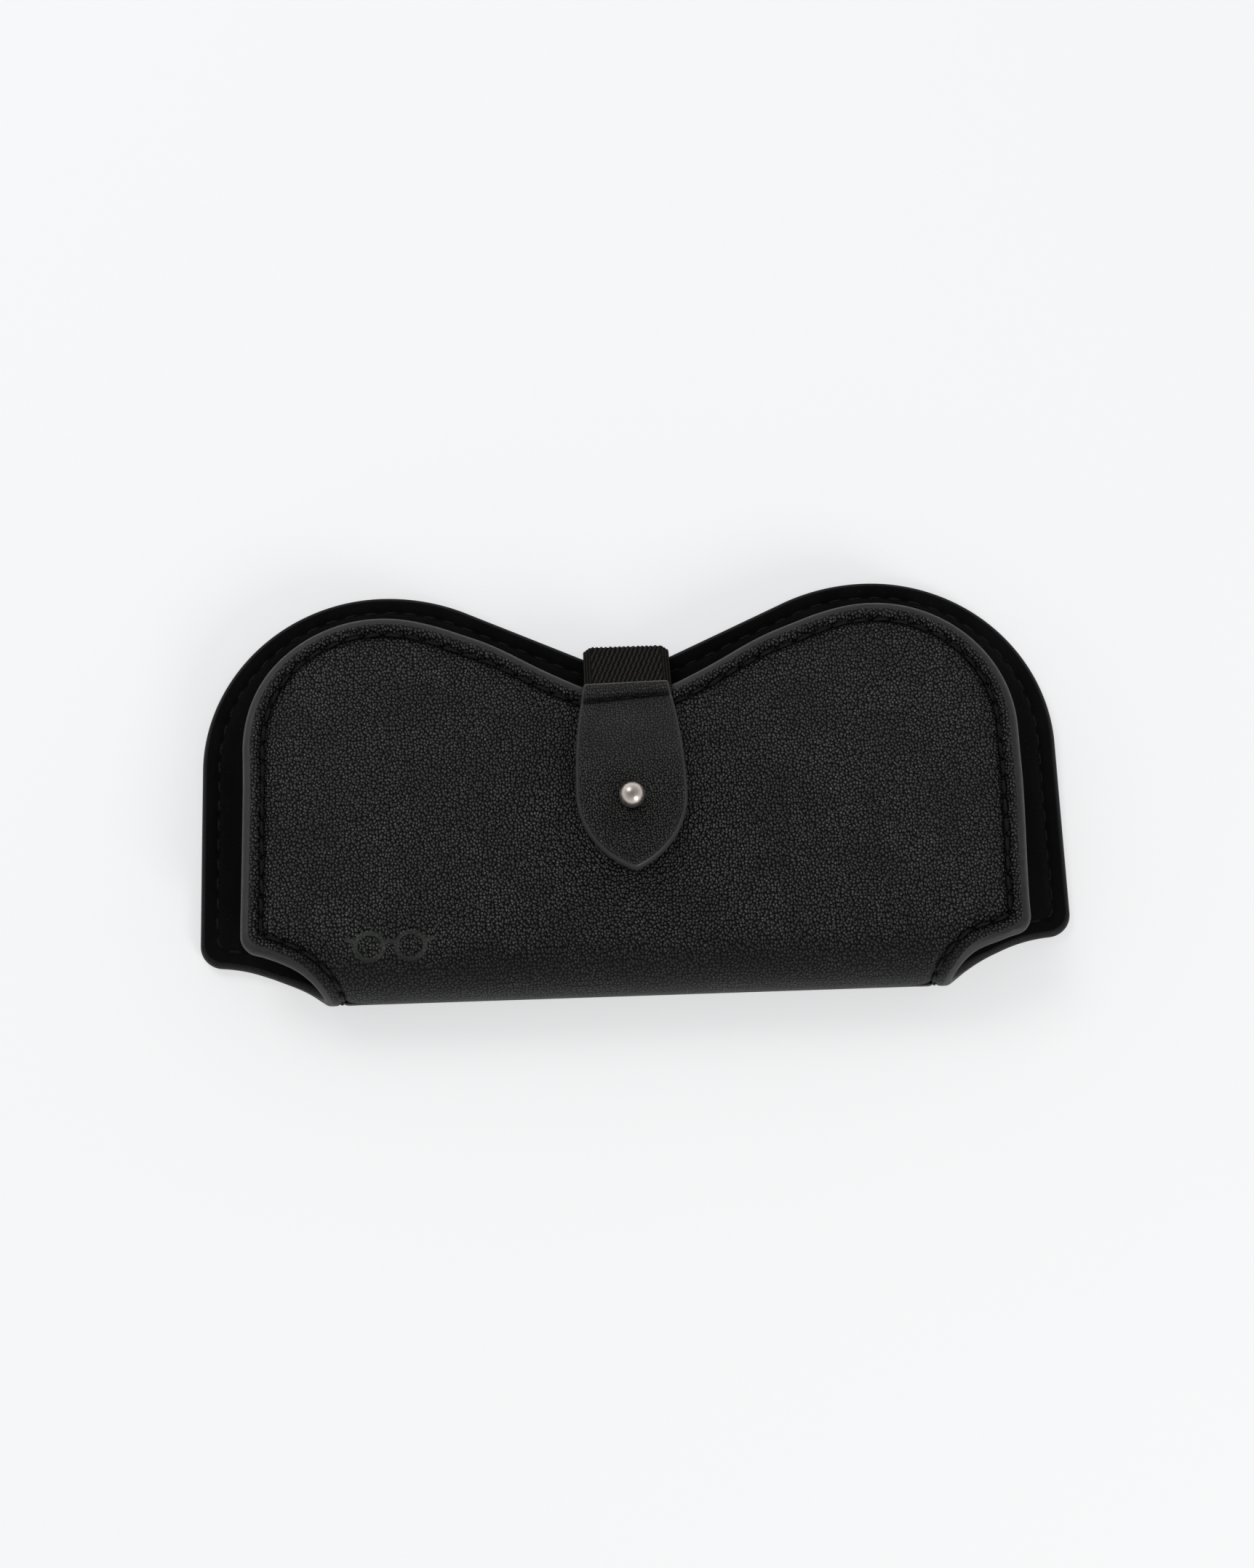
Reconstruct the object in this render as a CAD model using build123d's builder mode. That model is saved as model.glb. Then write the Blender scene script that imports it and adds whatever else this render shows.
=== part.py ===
from build123d import *
import os
from math import acos, atan2, cos, degrees, hypot, radians, sin, sqrt, tan

# Fold-over glasses case, lying on its back with the front panel up.
# Millimetres. +X runs to the right, +Y from the fold to the two humps, +Z up through the front.
# The origin is the middle of the case, on the surface it lies on.
# Plan sizes called "height" below are measured from the outermost line of the fold.

os.makedirs("parts", exist_ok=True)

# overall size
case_width = 168.0
case_height = 86.0
fold_radius = 8.0  # outside of the round fold
fold_length = 119.0
front_slope = 3.5  # degrees that the front panel leans down towards the back panel
front_margin = 8.5  # the front panel is this much smaller all round

# layers
leather_thickness = 1.3
lining_thickness = 1.3
board_thickness = 0.6
board_margin = 6.0  # from a panel's edge to its stiffener
board_start = 3.0  # from a fold line to a stiffener
board_corner = 2.0
hinge_gap = 0.1  # between two stretches of one layer, where it bends

# plan outline of the back panel
shoulder_radius = 35.5
hump_radius = 40.0  # the inner side of each hump is flatter
flank_angle = 26.0  # slope of the straight flank of the notch
notch_radius = 15.0
back_corner = 3.5
front_corner = 3.0
scoop_centre = (82.0, -18.2)  # the lower corners are scooped out round this point

# stitching
stitch_pitch = 4.0
stitch_length = 3.1
thread_width = 0.6
groove_width = 1.3
groove_depth = 0.3
thread_height = 0.4
front_row = 3.9  # from the front panel's edge to its seam
back_row = 3.4
seam_corner_drop = 1.5  # a seam turns its corner this much tighter than the edge

# elastic
elastic_width = 17.0
elastic_thickness = 0.9
elastic_root_height = 64.6  # where the sewn-in end begins
elastic_bend_height = 72.0  # where the band starts to bend up
elastic_bend_radius = 1.1
elastic_split = 2.0  # degrees each side of the line where the band is parted

# tab
tab_gap = 0.4  # from the front leather to the tab
tab_backing_thickness = 1.0
tab_leather_thickness = 1.2
tab_top_height = 62.8
tab_top_width = 16.9
tab_belly_height = 37.7  # the tab is widest here
tab_belly_width = 21.4
tab_end_radius = 17.0
tab_tip_radius = 1.5
tab_seam_height = 58.3
tab_seam_stitches = 5
tab_stitch_scale = 0.85  # the tab's stitches are this much shorter
elastic_end_width = 14.0
elastic_end_length = 6.0
elastic_end_thickness = 0.6
slit_width = 5.6
slit_length = 8.9
slit_shift = 1.45  # the slit reaches further towards the tip than towards the elastic

# ball stud
stud_height = 36.4
ball_radius = 2.5
ball_lift = 4.0  # centre of the ball above the front leather
neck_radius = 1.5
flange_radius = 3.2
flange_sunk = 0.4
flange_proud = 0.1
post_radius = 1.7
post_depth = 1.9
stud_clearance = 0.05
thread_bore_radius = 1.0
thread_bore_top = 1.4
screw_radius = 0.95
screw_top = 1.2
screw_head_radius = 3.6
screw_head_thickness = 0.8
screw_slot_width = 0.8
screw_slot_depth = 0.4

cut_margin = 1.0  # how far a trimming shape reaches past what it trims

panel_thickness = leather_thickness + lining_thickness
half_width = case_width / 2
half_elastic = elastic_thickness / 2
scoop_radius = hypot(scoop_centre[0] - fold_length / 2, scoop_centre[1])
shoulder_centre = (half_width - shoulder_radius, case_height - shoulder_radius)
hump_centre = (shoulder_centre[0], case_height - hump_radius)
flank_sin = sin(radians(flank_angle))
flank_cos = cos(radians(flank_angle))
flank_top_x = hump_centre[0] - hump_radius * flank_sin
flank_top_y = hump_centre[1] + hump_radius * flank_cos
notch_centre_y = (
    flank_top_y
    - tan(radians(flank_angle)) * (flank_top_x - notch_radius * flank_sin)
    + notch_radius * flank_cos
)
front_fold_height = fold_radius * (1 + sin(radians(front_slope)))
front_fold_z = fold_radius * (1 + cos(radians(front_slope)))

# planes: local x, y are the plan position, local z the height above the layer's surface
back_plane = Plane((0, -case_height / 2, 0))
front_normal = Vector(0, sin(radians(front_slope)), cos(radians(front_slope)))
front_along = Vector(0, cos(radians(front_slope)), -sin(radians(front_slope)))
front_plane = Plane(
    origin=Vector(0, front_fold_height - case_height / 2, front_fold_z) - front_along * front_fold_height,
    x_dir=(1, 0, 0),
    z_dir=front_normal,
)
stud_plane = Plane(front_plane.from_local_coords((0, stud_height, 0)), x_dir=(1, 0, 0), z_dir=-front_along)
stud_axis = Axis(stud_plane.origin, front_normal)


def panel_edge(inset, scoop_gap, corner_radius, start):
    """Edge of a panel from fold line to fold line, drawn this far inside the back panel's edge."""
    radius = scoop_radius + scoop_gap
    start_x = scoop_centre[0] - sqrt(radius**2 - (start - scoop_centre[1]) ** 2)
    start_angle = degrees(atan2(start - scoop_centre[1], start_x - scoop_centre[0]))
    corner_x = half_width - inset - corner_radius
    reach = radius + corner_radius
    corner_y = scoop_centre[1] + sqrt(reach**2 - (corner_x - scoop_centre[0]) ** 2)
    corner_angle = degrees(atan2(corner_y - scoop_centre[1], corner_x - scoop_centre[0]))
    notch = notch_radius + inset
    with BuildLine() as edge:
        CenterArc(scoop_centre, radius, start_angle, corner_angle - start_angle)
        CenterArc((corner_x, corner_y), corner_radius, corner_angle - 180, 180 - corner_angle)
        Line((half_width - inset, corner_y), (half_width - inset, shoulder_centre[1]))
        CenterArc(shoulder_centre, shoulder_radius - inset, 0, 90)
        hump = CenterArc(hump_centre, hump_radius - inset, 90, flank_angle)
        Line(hump @ 1, (notch * flank_sin, notch_centre_y - notch * flank_cos))
        CenterArc((0, notch_centre_y), notch, flank_angle - 90, -flank_angle)
        mirror(about=Plane.YZ)
    return edge.wire()


def panel_face(inset, scoop_gap, corner_radius, start):
    """The same outline closed along the fold line."""
    edge = panel_edge(inset, scoop_gap, corner_radius, start)
    with BuildSketch() as outline:
        with BuildLine():
            add(edge)
            Line(edge @ 0, edge @ 1)
        make_face()
    return outline.sketch


def seam_band(inset, scoop_gap, corner_radius, start):
    """The strip that a seam's groove takes up."""
    half = groove_width / 2
    with BuildSketch() as band:
        add(panel_face(inset - half, scoop_gap - half, corner_radius + half, start))
        add(panel_face(inset + half, scoop_gap + half, corner_radius - half, start), mode=Mode.SUBTRACT)
    return band.sketch


def seam_stitches(inset, scoop_gap, corner_radius, start):
    """One rounded stitch after another along a seam."""
    row = panel_edge(inset, scoop_gap, corner_radius, start)
    count = round(row.length / stitch_pitch)
    with BuildSketch() as stitches:
        for number in range(count):
            point = row @ ((number + 0.5) / count)
            heading = row % ((number + 0.5) / count)
            with Locations(Location((point.X, point.Y, 0), (0, 0, degrees(atan2(heading.Y, heading.X))))):
                SlotOverall(stitch_length, thread_width)
    return stitches.sketch


def fold_section(outer, inner):
    """Cross-section of one layer of the fold, from the back panel round to the front panel."""
    gap_angle = degrees(hinge_gap / fold_radius)
    centre = (fold_radius - case_height / 2, fold_radius)
    with BuildSketch() as section:
        with BuildLine():
            outside = CenterArc(centre, outer, -90 - gap_angle, 2 * gap_angle - 180 - front_slope)
            inside = CenterArc(centre, inner, -90 - gap_angle, 2 * gap_angle - 180 - front_slope)
            Line(outside @ 0, inside @ 0)
            Line(outside @ 1, inside @ 1)
        make_face()
    return section.sketch


def fold_plan():
    """Plan of the fold between the two scooped ends."""
    low = -cut_margin
    high = front_fold_height + cut_margin
    low_x = scoop_centre[0] - sqrt(scoop_radius**2 - (low - scoop_centre[1]) ** 2)
    high_x = scoop_centre[0] - sqrt(scoop_radius**2 - (high - scoop_centre[1]) ** 2)
    low_angle = degrees(atan2(low - scoop_centre[1], low_x - scoop_centre[0]))
    high_angle = degrees(atan2(high - scoop_centre[1], high_x - scoop_centre[0]))
    with BuildSketch() as plan:
        with BuildLine():
            CenterArc(scoop_centre, scoop_radius, low_angle, high_angle - low_angle)
            mirror(about=Plane.YZ)
            Line((low_x, low), (-low_x, low))
            Line((high_x, high), (-high_x, high))
        make_face()
    return plan.sketch


def tab_face():
    """Plan of the tab: straight top, slowly widening sides and a pointed round end."""
    drop = sqrt(tab_end_radius**2 - (tab_end_radius - tab_belly_width / 2) ** 2)
    end_x = tab_belly_width / 2 - tab_end_radius
    tip_angle = degrees(atan2(-drop, -end_x))
    with BuildSketch() as outline:
        with BuildLine():
            end = CenterArc((end_x, tab_belly_height), tab_end_radius, tip_angle, -tip_angle)
            side = TangentArc(end @ 1, (tab_top_width / 2, tab_top_height), tangent=(0, 1))
            Line(side @ 1, (0, tab_top_height))
            mirror(about=Plane.YZ)
        make_face()
        fillet(outline.vertices().sort_by(Axis.Y)[0], tab_tip_radius)
    return outline.sketch


# places shared by several pieces
back_start = fold_radius + hinge_gap
front_start = front_fold_height + hinge_gap
back_seam = (back_row, back_row, back_corner - seam_corner_drop, back_start)
front_seam = (front_margin + front_row, front_row, front_corner - seam_corner_drop, front_start)
back_board_outline = (board_margin, board_margin, board_corner, fold_radius + board_start)
front_board_start = front_fold_height + board_start
front_board_outline = (front_margin + board_margin, board_margin, board_corner, front_board_start)
tab_top = tab_gap + tab_backing_thickness + tab_leather_thickness
elastic_end_level = tab_gap + tab_backing_thickness - elastic_end_thickness
slit_height = stud_height - slit_shift
bend_centre = (elastic_bend_height - case_height / 2, leather_thickness + half_elastic + elastic_bend_radius)

# ---------------------------------------------------------------- back panel

with BuildPart() as back_leather:
    with BuildSketch(back_plane):
        add(panel_face(0, 0, back_corner, back_start))
    extrude(amount=leather_thickness)
back_leather.part.label = "back_leather"
export_step(back_leather.part, "parts/back_leather.step")

with BuildPart() as back_board:
    with BuildSketch(back_plane.offset(leather_thickness)):
        add(panel_face(*back_board_outline))
    extrude(amount=board_thickness)
back_board.part.label = "back_board"
export_step(back_board.part, "parts/back_board.step")

with BuildPart() as back_lining:
    with BuildSketch(back_plane.offset(leather_thickness)):
        add(panel_face(0, 0, back_corner, back_start))
    extrude(amount=lining_thickness)
    # pocket for the stiffener
    with BuildSketch(back_plane.offset(leather_thickness)):
        add(panel_face(*back_board_outline))
    extrude(amount=board_thickness, mode=Mode.SUBTRACT)
    # channel for the sewn-in end of the elastic
    with BuildSketch(back_plane.offset(leather_thickness)):
        with Locations((0, elastic_root_height)):
            Rectangle(elastic_width, case_height, align=(Align.CENTER, Align.MIN))
    extrude(amount=elastic_thickness, mode=Mode.SUBTRACT)
    # groove that the seam is sunk in
    with BuildSketch(back_plane.offset(panel_thickness)):
        add(seam_band(*back_seam))
    extrude(amount=-groove_depth, mode=Mode.SUBTRACT)
back_lining.part.label = "back_lining"
export_step(back_lining.part, "parts/back_lining.step")

with BuildPart() as back_stitching:
    with BuildSketch(back_plane.offset(panel_thickness - groove_depth)):
        add(seam_stitches(*back_seam))
    extrude(amount=thread_height)
back_stitching.part.label = "back_stitching"
export_step(back_stitching.part, "parts/back_stitching.step")

# flat inside the panel, then out through the notch and up round half of the bend
with BuildPart() as elastic_root:
    with BuildLine(Plane.YZ):
        bend = CenterArc(bend_centre, elastic_bend_radius, -90, 90 - elastic_split)
        Line((elastic_root_height - case_height / 2, leather_thickness + half_elastic), bend @ 0)
    root_start = (0, elastic_root_height - case_height / 2, leather_thickness + half_elastic)
    with BuildSketch(Plane(root_start, x_dir=(1, 0, 0), z_dir=(0, 1, 0))):
        Rectangle(elastic_width, elastic_thickness)
    sweep()
elastic_root.part.label = "elastic_root"
export_step(elastic_root.part, "parts/elastic_root.step")

# ---------------------------------------------------------------- fold

with BuildPart() as spine_leather:
    with BuildSketch(Plane.YZ):
        add(fold_section(fold_radius, fold_radius - leather_thickness))
    extrude(amount=half_width, both=True)
    with BuildSketch(back_plane.offset(-cut_margin)):
        add(fold_plan())
    extrude(amount=2 * (fold_radius + cut_margin), mode=Mode.INTERSECT)
spine_leather.part.label = "spine_leather"
export_step(spine_leather.part, "parts/spine_leather.step")

with BuildPart() as spine_lining:
    with BuildSketch(Plane.YZ):
        add(fold_section(fold_radius - leather_thickness, fold_radius - panel_thickness))
    extrude(amount=half_width, both=True)
    with BuildSketch(back_plane.offset(-cut_margin)):
        add(fold_plan())
    extrude(amount=2 * (fold_radius + cut_margin), mode=Mode.INTERSECT)
spine_lining.part.label = "spine_lining"
export_step(spine_lining.part, "parts/spine_lining.step")

# ---------------------------------------------------------------- front panel

with BuildPart() as front_leather:
    with BuildSketch(front_plane):
        add(panel_face(front_margin, 0, front_corner, front_start))
    extrude(amount=-leather_thickness)
    with BuildSketch(front_plane):
        with Locations((0, stud_height)):
            Circle(post_radius + stud_clearance)
    extrude(amount=-leather_thickness, mode=Mode.SUBTRACT)
    # the leather gives way under the stud's flange
    with BuildSketch(front_plane):
        with Locations((0, stud_height)):
            Circle(flange_radius + stud_clearance)
    extrude(amount=-flange_sunk, mode=Mode.SUBTRACT)
    with BuildSketch(front_plane):
        add(seam_band(*front_seam))
    extrude(amount=-groove_depth, mode=Mode.SUBTRACT)
front_leather.part.label = "front_leather"
export_step(front_leather.part, "parts/front_leather.step")

with BuildPart() as front_board:
    with BuildSketch(front_plane.offset(-leather_thickness)):
        add(panel_face(*front_board_outline))
        with Locations((0, stud_height)):
            Circle(post_radius + stud_clearance, mode=Mode.SUBTRACT)
    extrude(amount=-board_thickness)
front_board.part.label = "front_board"
export_step(front_board.part, "parts/front_board.step")

with BuildPart() as front_lining:
    with BuildSketch(front_plane.offset(-leather_thickness)):
        add(panel_face(front_margin, 0, front_corner, front_start))
        with Locations((0, stud_height)):
            Circle(screw_radius + stud_clearance, mode=Mode.SUBTRACT)
    extrude(amount=-lining_thickness)
    with BuildSketch(front_plane.offset(-leather_thickness)):
        add(panel_face(*front_board_outline))
    extrude(amount=-board_thickness, mode=Mode.SUBTRACT)
front_lining.part.label = "front_lining"
export_step(front_lining.part, "parts/front_lining.step")

with BuildPart() as front_stitching:
    with BuildSketch(front_plane.offset(-groove_depth)):
        add(seam_stitches(*front_seam))
    extrude(amount=thread_height)
front_stitching.part.label = "front_stitching"
export_step(front_stitching.part, "parts/front_stitching.step")

# ---------------------------------------------------------------- ball stud

with BuildPart() as stud_ball:
    neck_top = ball_lift - sqrt(ball_radius**2 - neck_radius**2)
    with BuildSketch(stud_plane):
        with BuildLine():
            base = Polyline(
                (0, thread_bore_top),
                (thread_bore_radius, thread_bore_top),
                (thread_bore_radius, -post_depth),
                (post_radius, -post_depth),
                (post_radius, -flange_sunk),
                (flange_radius, -flange_sunk),
                (flange_radius, -flange_proud),
                (neck_radius, flange_proud),
                (neck_radius, neck_top),
            )
            ball = ThreePointArc(base @ 1, (ball_radius, ball_lift), (0, ball_lift + ball_radius))
            Line(ball @ 1, base @ 0)
        make_face()
    revolve(axis=stud_axis)
stud_ball.part.label = "stud_ball"
export_step(stud_ball.part, "parts/stud_ball.step")

with BuildPart() as stud_screw:
    with BuildSketch(front_plane.offset(-panel_thickness - screw_head_thickness)):
        with Locations((0, stud_height)):
            Circle(screw_head_radius)
    extrude(amount=screw_head_thickness)
    fillet(stud_screw.edges().group_by(Axis.Z)[0], screw_head_thickness / 2)
    with BuildSketch(front_plane.offset(-panel_thickness)):
        with Locations((0, stud_height)):
            Circle(screw_radius)
    extrude(amount=panel_thickness + screw_top)
    with BuildSketch(front_plane.offset(-panel_thickness - screw_head_thickness)):
        with Locations((0, stud_height)):
            Rectangle(2 * screw_head_radius, screw_slot_width)
    extrude(amount=screw_slot_depth, mode=Mode.SUBTRACT)
stud_screw.part.label = "stud_screw"
export_step(stud_screw.part, "parts/stud_screw.step")

# ---------------------------------------------------------------- elastic and tab

# from the other half of the bend straight up to the tab
with BuildPart() as elastic_strap:
    tab_middle_level = elastic_end_level + elastic_end_thickness / 2
    tab_corner = front_plane.from_local_coords((0, tab_top_height, tab_middle_level))
    strap_end = (tab_corner.Y + half_elastic + hinge_gap, tab_corner.Z)
    end_angle = degrees(atan2(strap_end[1] - bend_centre[1], strap_end[0] - bend_centre[0]))
    end_reach = hypot(strap_end[0] - bend_centre[0], strap_end[1] - bend_centre[1])
    leave_angle = end_angle - degrees(acos(elastic_bend_radius / end_reach))
    with BuildLine(Plane.YZ):
        rise = CenterArc(bend_centre, elastic_bend_radius, elastic_split, leave_angle - elastic_split)
        Line(rise @ 1, strap_end)
    with BuildSketch(Plane(rise @ 0, x_dir=(1, 0, 0), z_dir=rise % 0)):
        Rectangle(elastic_width, elastic_thickness)
    sweep()
elastic_strap.part.label = "elastic_strap"
export_step(elastic_strap.part, "parts/elastic_strap.step")

with BuildPart() as tab_backing:
    with BuildSketch(front_plane.offset(tab_gap)):
        add(tab_face())
        with Locations((0, slit_height)):
            SlotOverall(slit_length, slit_width, rotation=90, mode=Mode.SUBTRACT)
    extrude(amount=tab_backing_thickness)
    # pocket for the end of the elastic
    with BuildSketch(front_plane.offset(elastic_end_level)):
        with Locations((0, tab_top_height)):
            Rectangle(elastic_end_width, elastic_end_length, align=(Align.CENTER, Align.MAX))
    extrude(amount=elastic_end_thickness, mode=Mode.SUBTRACT)
tab_backing.part.label = "tab_backing"
export_step(tab_backing.part, "parts/tab_backing.step")

with BuildPart() as elastic_end:
    with BuildSketch(front_plane.offset(elastic_end_level)):
        with Locations((0, tab_top_height)):
            Rectangle(elastic_end_width, elastic_end_length, align=(Align.CENTER, Align.MAX))
    extrude(amount=elastic_end_thickness)
elastic_end.part.label = "elastic_end"
export_step(elastic_end.part, "parts/elastic_end.step")

with BuildPart() as tab_stitching:
    with BuildSketch(front_plane.offset(tab_top - groove_depth)):
        with Locations((0, tab_seam_height)):
            with GridLocations(stitch_pitch * tab_stitch_scale, 0, tab_seam_stitches, 1):
                SlotOverall(stitch_length * tab_stitch_scale, thread_width)
    extrude(amount=thread_height)
tab_stitching.part.label = "tab_stitching"
export_step(tab_stitching.part, "parts/tab_stitching.step")

with BuildPart() as tab_leather:
    with BuildSketch(front_plane.offset(tab_top)):
        add(tab_face())
        with Locations((0, slit_height)):
            SlotOverall(slit_length, slit_width, rotation=90, mode=Mode.SUBTRACT)
    extrude(amount=-tab_leather_thickness)
    add(tab_stitching.part, mode=Mode.SUBTRACT)
tab_leather.part.label = "tab_leather"
export_step(tab_leather.part, "parts/tab_leather.step")
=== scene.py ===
from functools import partial
from math import cos, hypot, pi, radians, sin, sqrt, tan

import bmesh
import bpy
import numpy as np
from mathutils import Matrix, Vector
from mathutils.geometry import delaunay_2d_cdt


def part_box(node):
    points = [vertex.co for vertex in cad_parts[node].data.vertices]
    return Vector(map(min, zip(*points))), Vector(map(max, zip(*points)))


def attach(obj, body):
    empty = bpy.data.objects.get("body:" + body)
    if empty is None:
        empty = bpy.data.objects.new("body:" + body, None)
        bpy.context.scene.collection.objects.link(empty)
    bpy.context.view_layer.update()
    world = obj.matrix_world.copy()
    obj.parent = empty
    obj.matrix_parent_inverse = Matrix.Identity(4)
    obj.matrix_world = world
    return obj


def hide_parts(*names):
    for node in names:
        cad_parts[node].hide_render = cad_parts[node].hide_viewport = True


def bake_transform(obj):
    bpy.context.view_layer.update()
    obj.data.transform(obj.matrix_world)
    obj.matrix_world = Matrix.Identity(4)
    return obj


# A fold-over leather glasses case, closed, lying on its back panel.
# Shapes are worked out in millimetres and scaled to metres when a mesh is made.
# Plan "height" runs from the outermost line of the fold to the two humps.
# "run" is the distance along the leather's outer surface from that line, and "lift" the distance out of it.

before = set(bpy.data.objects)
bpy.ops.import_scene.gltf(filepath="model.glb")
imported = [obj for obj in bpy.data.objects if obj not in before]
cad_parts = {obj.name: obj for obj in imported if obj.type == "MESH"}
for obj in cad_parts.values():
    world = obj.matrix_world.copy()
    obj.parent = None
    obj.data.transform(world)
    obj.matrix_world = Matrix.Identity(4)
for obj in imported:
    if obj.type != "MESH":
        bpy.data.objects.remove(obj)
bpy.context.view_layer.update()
chance = np.random.default_rng(7)
MM = 0.001


def box_mm(node):
    """Lowest and highest corner of a CAD node, in millimetres."""
    low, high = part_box(node)
    return low / MM, high / MM


# ---- sizes

case_high = box_mm("back_leather")[1]
spine_low, spine_high = box_mm("spine_leather")
half_width = case_high.x
case_height = case_high.y - spine_low.y
fold_radius = spine_high.z / 2
leather = case_high.z
panel = box_mm("back_lining")[1].z
mid_line = case_height / 2  # plan height of the frame's origin

front_slope = radians(3.5)
front_margin = 8.5
fold_length = 119.0
shoulder_radius = 35.5
hump_radius = 40.0
flank = radians(26.0)
notch_radius = 15.0
notch_dip = 0.35  # the band pulls the middle of the front panel's mouth down
flank_place = 27.0  # the front panel's flanks bulge this far out from the middle
back_corner = 4.6
front_corner = 4.2
corner_decay = 5.6  # inner rings have tighter corners
scoop_centre = (82.0, -18.2)
scoop_radius = hypot(scoop_centre[0] - fold_length / 2, scoop_centre[1])
board_margin = 6.0
board_start = 3.0
board_thickness = box_mm("back_board")[1].z - leather

front_row = 3.9  # from a panel's edge to its seam
back_row = 3.4
stitch_pitch = 4.0
stitch_length = 3.0
thread_radius = 0.29

stud_height = 36.4
stud_hole = 1.75
stud_flange = 3.25

tab_top_height = 61.2
tab_top_width = 16.9
tab_belly_height = 37.7
tab_belly_width = 21.4
tab_end_radius = 17.0
tab_low, tab_middle, tab_high = 0.4, 1.4, 2.6  # lifts of its underside, its glue line and its top
tab_seam_height = 58.0
tab_seam_slope = 0.06
tab_skew = radians(0.8)

elastic_width = 17.0
elastic_thickness = 0.9
elastic_root_height = 64.6
elastic_bend_height = 72.0
elastic_bend_radius = 1.1

shoulder_centre = (half_width - shoulder_radius, case_height - shoulder_radius)
hump_centre = (shoulder_centre[0], case_height - hump_radius)
flank_top = (hump_centre[0] - hump_radius * sin(flank), hump_centre[1] + hump_radius * cos(flank))
flank_foot = flank_top[1] - tan(flank) * (flank_top[0] - notch_radius * sin(flank))
notch_centre = flank_foot + notch_radius * cos(flank)


class Side:
    """One half of the folded sheet: the stretch from the fold's outermost line to the end of one panel."""

    def __init__(self, sign, turn, margin, corner, notch_rise, right, left, hump_rise=0.0, bulge=0.0):
        self.sign = sign  # +1 is the front panel, above the fold's middle
        self.turn = turn  # how far the leather turns before it runs straight
        self.margin = margin  # how much smaller this panel is than the back one
        self.corner = corner
        self.notch_rise, self.hump_rise, self.bulge = notch_rise, hump_rise, bulge
        self.right, self.left = right, left  # what settle() does to each lower corner
        self.start = fold_radius - fold_radius * cos(turn)  # plan height where the panel starts
        self.arc = fold_radius * turn  # run where the panel starts

    def run(self, height):
        """The run at a plan height on the panel."""
        return height - self.start + self.arc


front = Side(
    sign=1,
    turn=pi / 2 + front_slope,
    margin=front_margin,
    corner=front_corner,
    notch_rise=0.1,
    hump_rise=0.55,
    bulge=1.2,
    right=dict(droop=1.9, draw=1.0, first=61, top=46),
    left=dict(droop=0.9, draw=0.7, first=60, top=74),
)
back = Side(
    sign=-1,
    turn=pi / 2,
    margin=0.0,
    corner=back_corner,
    notch_rise=0.5,
    right=dict(droop=0.0, draw=0.0, first=62, top=46),
    left=dict(droop=0.85, draw=0.0, first=60, top=54),
)

# ---- placing


def smooth(value, low, high):
    """0 before low, 1 after high, and a smooth step between."""
    t = np.clip((value - low) / (high - low), 0, 1)
    return t * t * (3 - 2 * t)


def hollow(distance, width):
    """A soft round hollow of depth 1."""
    return np.exp(-((distance / width) ** 2))


def sag(side, x, height):
    """How far a panel lies below its flat shape."""
    if side is back:
        return -0.12 * (1 + np.sin(x / 19 + 0.7) * np.sin(height / 15 - 0.4)) * smooth(height, 12, 40)
    dip = notch_dip * hollow(x, 27) * smooth(height, 40, 63)
    ripple = 0.16 * np.sin(x / 15 + 0.6) * np.sin(height / 13 + 0.9) * smooth(height, 12, 26)
    away_from_stud = 1 - hollow(np.hypot(x, height - stud_height), 9)
    curl = 0.35 * smooth(np.abs(x), 52, 76) * smooth(height, 14, 34)
    return dip + (ripple + curl) * away_from_stud


def settle(outline, droop, draw, first, top):
    """The right half of an outline, as x and run, with its lower corner let down by droop and drawn in by
    draw. The change starts at x = first and has faded out at run = top."""
    across, along = 9, 28  # how far it takes to come in and to fade out
    amount = smooth(outline[:, 0], first, first + across) * (1 - smooth(outline[:, 1], top - along, top))
    return outline - amount[:, None] * (draw, droop)


def place(side, x, run, lift):
    """Points of the sheet in metres, in the row frame."""
    turn = np.minimum(run / fold_radius, side.turn)
    ahead = np.maximum(run - side.arc, 0)
    radius = fold_radius + lift
    height = fold_radius - radius * np.cos(turn) + ahead * sin(side.turn)
    level = fold_radius + side.sign * (radius * np.sin(turn) + ahead * cos(side.turn))
    level = level - sag(side, x, height)
    return np.column_stack([x, height - mid_line, level]) * MM


def arc_points(centre, radius, start, end, count):
    """Points along an arc without its last one."""
    angles = np.linspace(start, end, count, endpoint=False)
    return np.column_stack([centre[0] + radius * np.cos(angles), centre[1] + radius * np.sin(angles)])


def line_points(start, end, count):
    """Points along a line without its last one."""
    share = np.linspace(0, 1, count, endpoint=False)[:, None]
    return np.array(start) * (1 - share) + np.array(end) * share


def scoop_x(height, gap):
    """Half-width of the sheet at the scooped lower corners."""
    return scoop_centre[0] - np.sqrt((scoop_radius + gap) ** 2 - (height - scoop_centre[1]) ** 2)


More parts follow.
